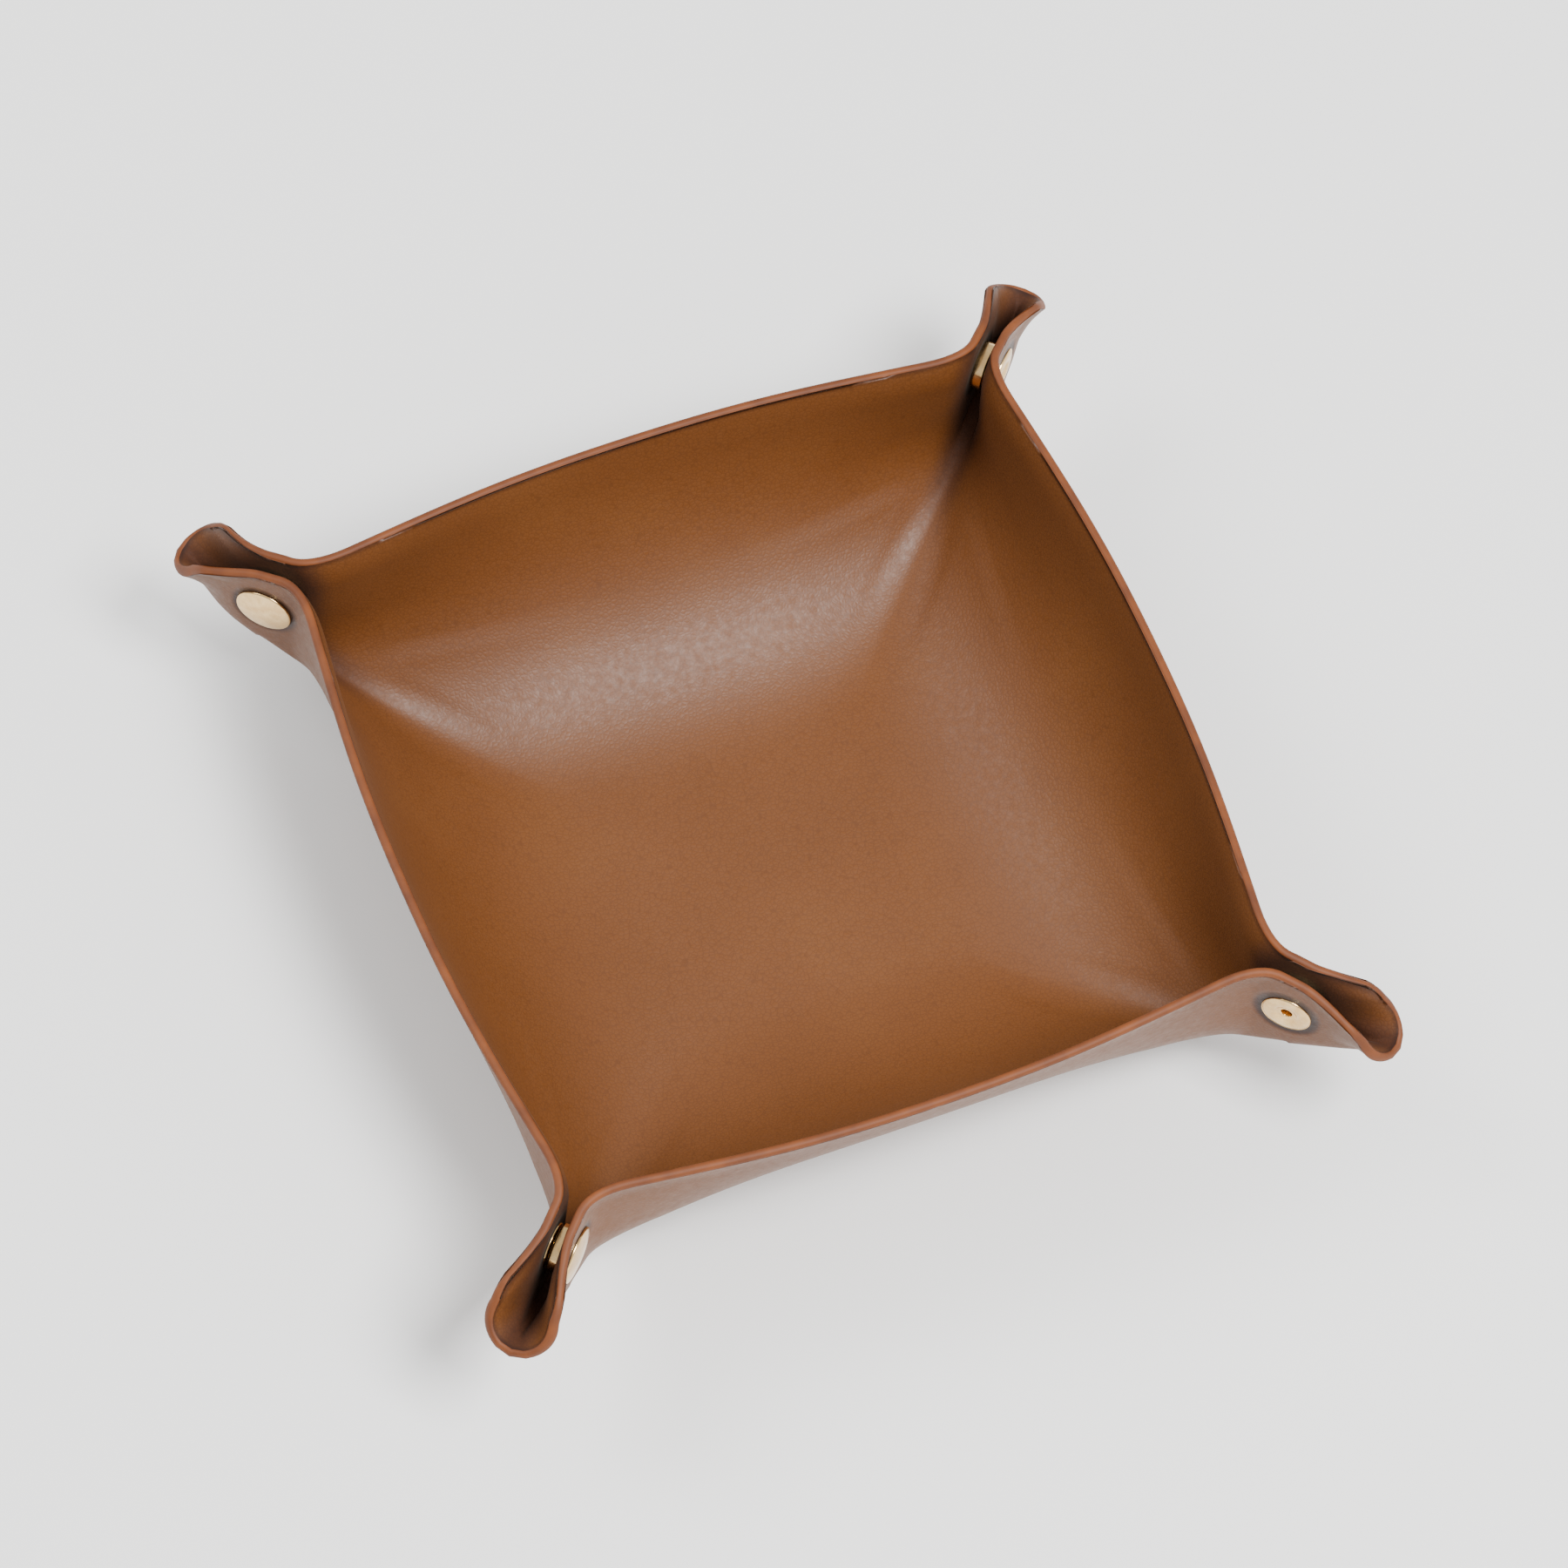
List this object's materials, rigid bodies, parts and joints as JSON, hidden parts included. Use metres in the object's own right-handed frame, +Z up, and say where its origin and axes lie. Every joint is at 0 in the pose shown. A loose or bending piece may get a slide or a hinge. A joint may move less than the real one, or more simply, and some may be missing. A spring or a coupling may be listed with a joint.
{
  "type": "valet tray",
  "caption": "Square catch-all tray of one leather sheet, dished and pinched into an ear at each corner by a press snap, so that it lies flat when undone.",
  "frame": {"origin": "centre of the underside of the base, where the tray rests", "axes": "+Z up, +X to the right, +Y to the back, -Y the front; the walls face along X and Y, and the ears point along the diagonals"},
  "size_m": [0.2076, 0.2076, 0.0508],
  "materials": {
    "leather": "fine pebbled grain, semi-matte, tan brown; edge painted",
    "plated_brass": "polished pale gold plating",
    "spring_wire": "drawn spring wire"
  },
  "bodies": {
    "sheet": {"leather_sheet": "leather", "stud_back_right": "plated_brass", "post_back_right": "plated_brass", "stud_front_right": "plated_brass", "post_front_right": "plated_brass", "stud_front_left": "plated_brass", "post_front_left": "plated_brass", "stud_back_left": "plated_brass", "post_back_left": "plated_brass"},
    "flap_back_right": {"cap_back_right": "plated_brass", "socket_back_right": "plated_brass", "socket_spring_back_right": "spring_wire"},
    "flap_front_right": {"cap_front_right": "plated_brass", "socket_front_right": "plated_brass", "socket_spring_front_right": "spring_wire"},
    "flap_front_left": {"cap_front_left": "plated_brass", "socket_front_left": "plated_brass", "socket_spring_front_left": "spring_wire"},
    "flap_back_left": {"cap_back_left": "plated_brass", "socket_back_left": "plated_brass", "socket_spring_back_left": "spring_wire"}
  },
  "joints": [
    {"name": "release_back_right", "type": "hinge", "parent": "sheet", "child": "flap_back_right", "pos_m": [0.08584, 0.08584, 0.0248], "axis": [-0.63, -0.63, -0.454], "range_deg": [0, 30], "stiffness_Nm_per_rad": 0.02, "deforming": ["leather_sheet", "socket_spring_back_right"]},
    {"name": "release_front_right", "type": "hinge", "parent": "sheet", "child": "flap_front_right", "pos_m": [0.08584, -0.08584, 0.0248], "axis": [-0.63, 0.63, -0.454], "range_deg": [0, 30], "stiffness_Nm_per_rad": 0.02, "deforming": ["leather_sheet", "socket_spring_front_right"]},
    {"name": "release_front_left", "type": "hinge", "parent": "sheet", "child": "flap_front_left", "pos_m": [-0.08584, -0.08584, 0.0248], "axis": [0.63, 0.63, -0.454], "range_deg": [0, 30], "stiffness_Nm_per_rad": 0.02, "deforming": ["leather_sheet", "socket_spring_front_left"]},
    {"name": "release_back_left", "type": "hinge", "parent": "sheet", "child": "flap_back_left", "pos_m": [-0.08584, 0.08584, 0.0248], "axis": [0.63, -0.63, -0.454], "range_deg": [0, 30], "stiffness_Nm_per_rad": 0.02, "deforming": ["leather_sheet", "socket_spring_back_left"]}
  ]
}
